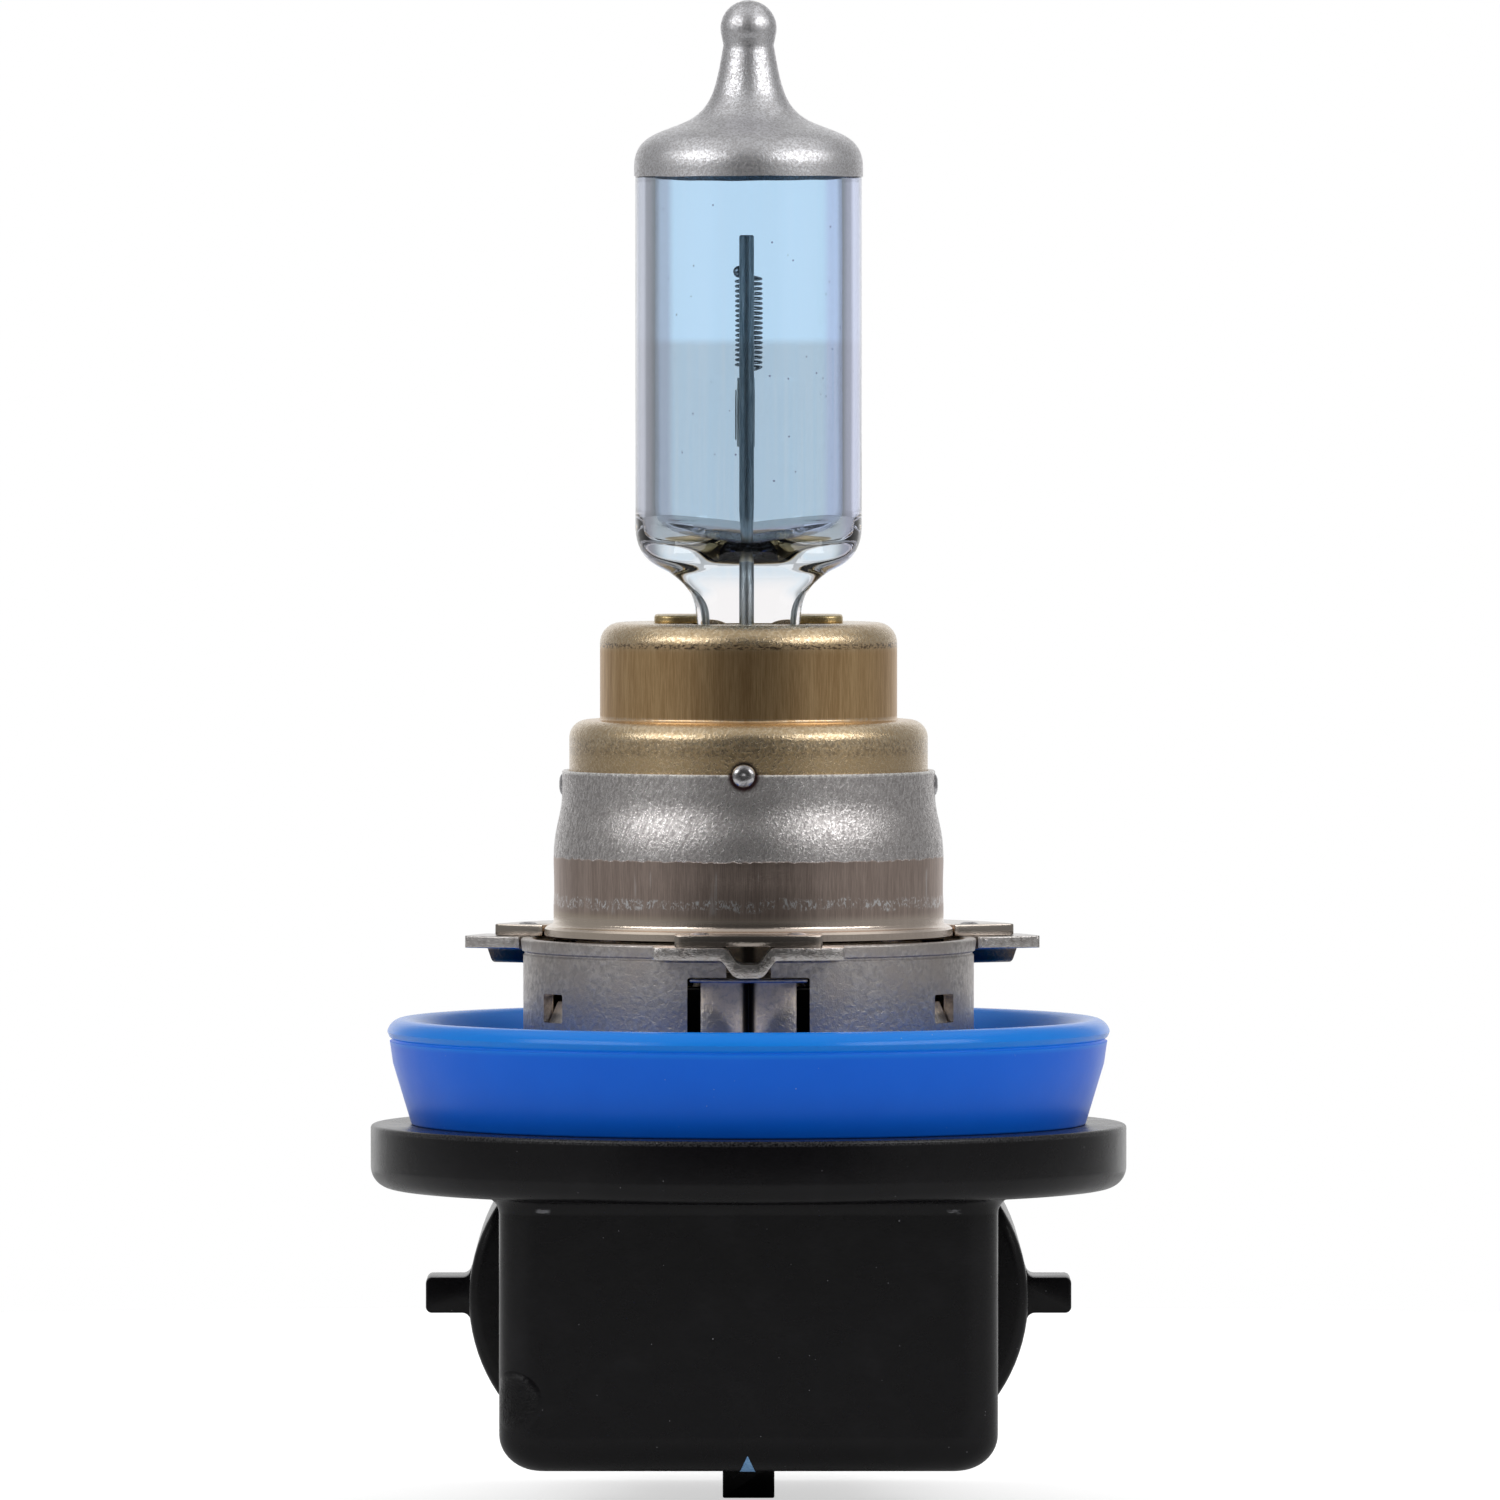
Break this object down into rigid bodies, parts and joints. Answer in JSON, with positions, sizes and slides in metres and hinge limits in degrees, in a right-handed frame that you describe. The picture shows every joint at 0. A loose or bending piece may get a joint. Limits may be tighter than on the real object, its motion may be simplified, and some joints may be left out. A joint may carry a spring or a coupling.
{
  "type": "halogen headlight bulb",
  "caption": "Halogen headlight capsule with a silvered tip on a metal bayonet base, with a blue lip seal, a round flange and a right-angle oval two-blade connector.",
  "frame": {"origin": "on the bulb's optical axis, level with the underside of the bayonet lugs, which is the lamp's reference plane", "axes": "+Z along the optical axis to the glass tip; +Y out of the connector's mouth; -Y to the closed back of the housing"},
  "size_m": [0.0315, 0.0352, 0.0629],
  "materials": {
    "tinted_glass": "clear quartz with a pale blue filter coat, smooth and glossy",
    "silver_coating": "fine metallic silver coat with a soft sparkle",
    "tungsten": "drawn tungsten wire, satin grey",
    "molybdenum": "drawn molybdenum, satin blue-grey",
    "weld_metal": "bright weld nugget",
    "lead_wire": "plain nickel-plated wire",
    "bronze_cap": "drawn bronze-coloured sheet with vertical drawing lines and an orange-peel texture on its bends",
    "clamp_spring": "satin spring strip",
    "collar_steel": "drawn stainless sheet with fine vertical lines, rubbed below the middle",
    "ring_steel": "grey satin stainless sheet with a light orange-peel texture",
    "blue_silicone": "smooth satin blue silicone rubber with a little dust",
    "black_plastic": "black glass-filled moulded plastic, fine satin grain",
    "tinned_copper": "tin-plated blade",
    "blue_paint": "thin blue paint"
  },
  "bodies": {
    "root": {"glass_envelope": "tinted_glass", "silver_tip_coat": "silver_coating", "filament_coil": "tungsten", "filament_weld_bead": "weld_metal", "filament_clip": "molybdenum", "long_support_wire": "molybdenum", "short_support_wire": "molybdenum", "front_pinch_foil": "molybdenum", "rear_pinch_foil": "molybdenum", "front_outer_lead": "lead_wire", "rear_outer_lead": "lead_wire", "burner_holder_cap": "bronze_cap", "pinch_clamp": "clamp_spring", "focus_collar": "collar_steel", "collar_weld_spots": "weld_metal", "bayonet_ring": "ring_steel", "flange_weld_spots": "weld_metal", "lip_seal": "blue_silicone", "base_housing": "black_plastic", "left_terminal": "tinned_copper", "right_terminal": "tinned_copper", "index_mark": "blue_paint"}
  },
  "joints": []
}
